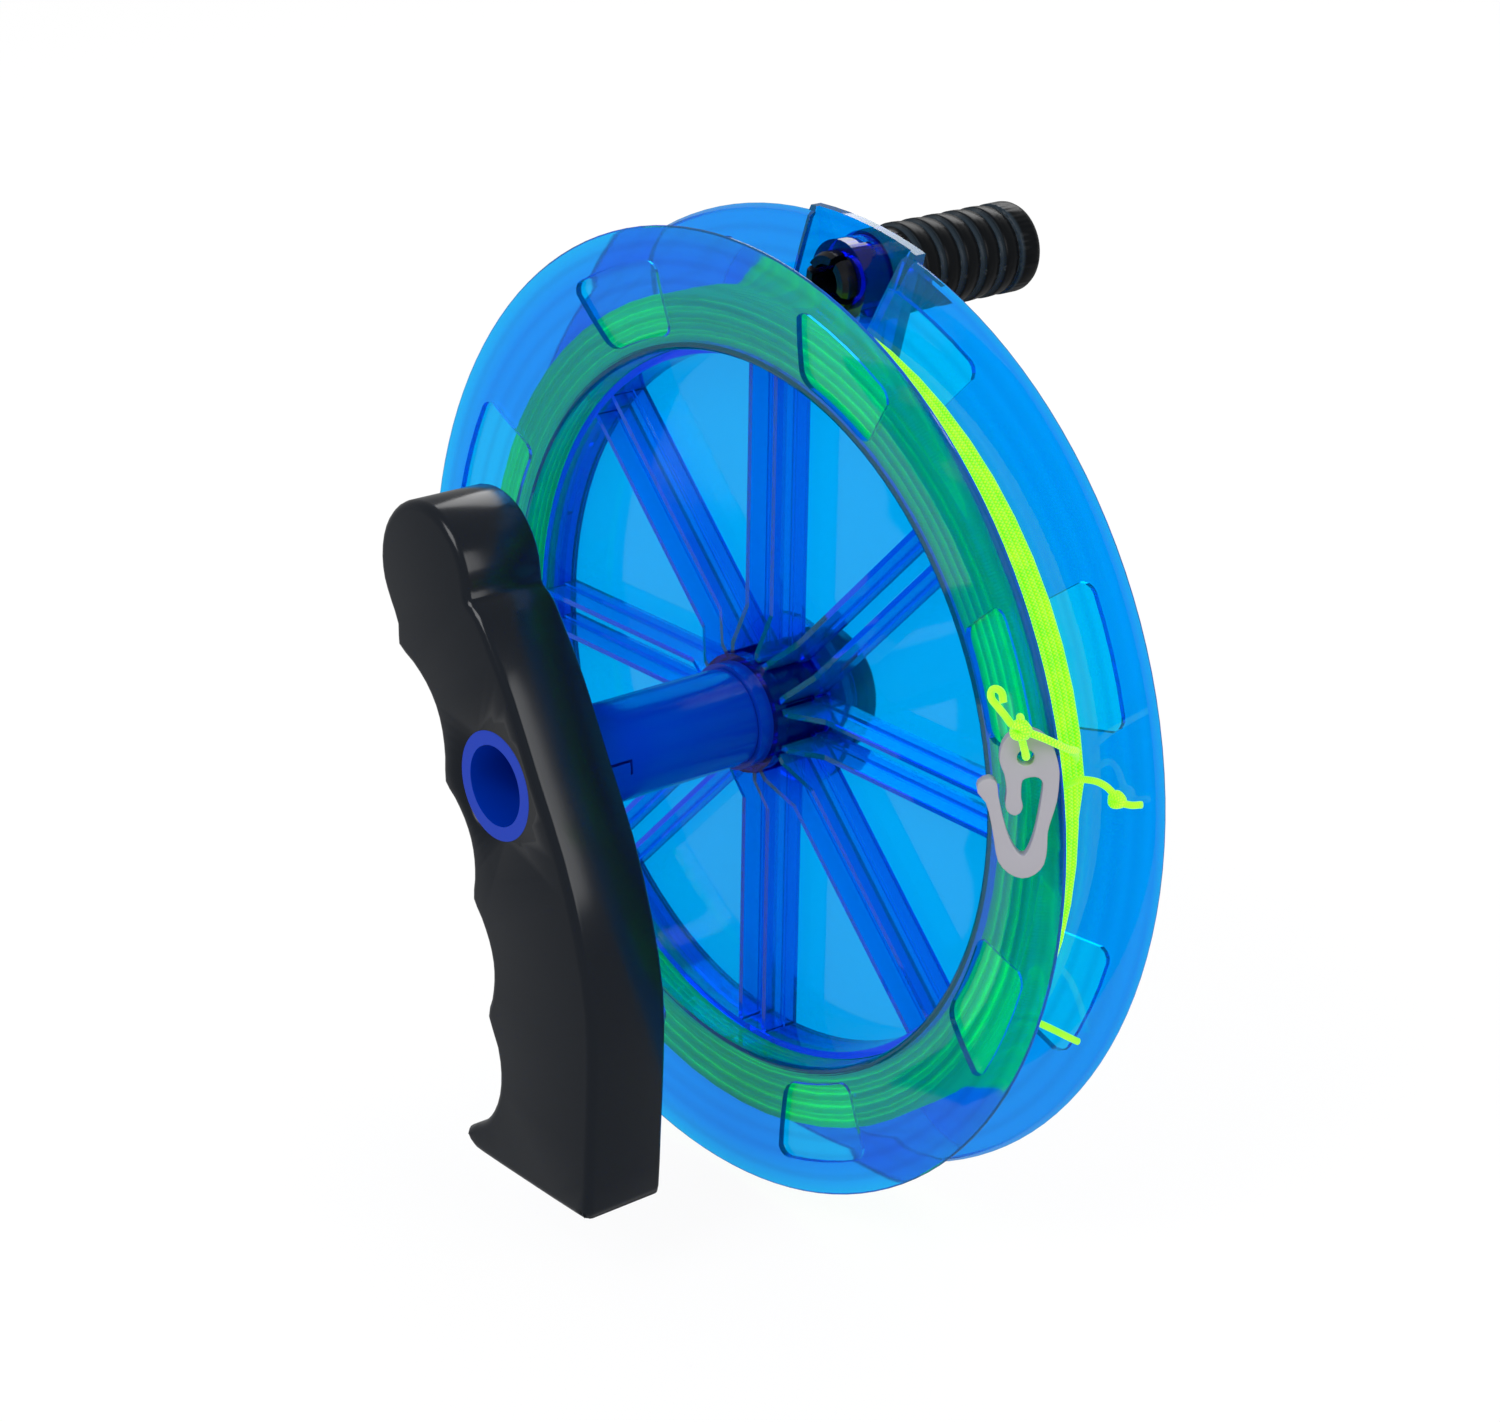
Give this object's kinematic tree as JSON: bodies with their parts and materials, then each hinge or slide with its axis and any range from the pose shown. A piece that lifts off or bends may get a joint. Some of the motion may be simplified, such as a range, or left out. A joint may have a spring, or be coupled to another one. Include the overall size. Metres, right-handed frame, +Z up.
{
  "type": "kite line winder",
  "caption": "Hand winder for kite line: a clear flanged wheel on a hollow axle, turned by a rear knob and held by a finger-grooved grip, with the line's end clip.",
  "frame": {"origin": "on the wheel's axle, at the middle of the grip's thickness, where the hand holds the part", "axes": "+Z up along the grip towards its round head, +Y along the axle from the grip to the wheel and the knob, +X towards the back of the grip"},
  "size_m": [0.2221, 0.1315, 0.223],
  "materials": {
    "grip_black": "glossy moulded",
    "steel": "plain",
    "axle_blue": "glossy, translucent dark blue",
    "bush_blue": "glossy, translucent dark blue",
    "washer_grey": "matte",
    "clear_blue": "glossy, translucent blue",
    "line_green": "fluorescent braided line",
    "knob_black": "satin moulded",
    "clip_grey": "satin moulded"
  },
  "bodies": {
    "grip": {"grip_shell": "grip_black", "grip_cover": "grip_black", "grip_screws": "steel", "axle_tube": "axle_blue", "rear_washer": "washer_grey", "rear_cap": "grip_black"},
    "wheel": {"wheel_front": "clear_blue", "wheel_back": "clear_blue", "front_bush": "bush_blue", "rear_bush": "bush_blue", "line_core": "line_green", "line_winding": "line_green", "clip_line": "line_green", "clip_loop": "line_green", "clip_knot": "line_green", "curl_tail": "line_green", "loose_end": "line_green", "loose_knot": "line_green", "short_tail": "line_green"},
    "knob": {"knob_core": "knob_black", "knob_sleeve": "knob_black", "knob_cap": "knob_black"},
    "clip": {"line_clip": "clip_grey"}
  },
  "joints": [
    {"name": "wheel_spin", "type": "hinge", "parent": "grip", "child": "wheel", "pos_m": [0, 0, 0], "axis": [0, 1, 0], "continuous": true},
    {"name": "knob_spin", "type": "hinge", "parent": "wheel", "child": "knob", "pos_m": [0.01613, 0.08, 0.0996], "axis": [0, 1, 0], "continuous": true},
    {"name": "clip_swing", "type": "hinge", "parent": "wheel", "child": "clip", "pos_m": [0.1048, 0.0432, 0.0261], "axis": [0.7727, -0.6347, 0], "range_deg": [-100, 6]}
  ]
}
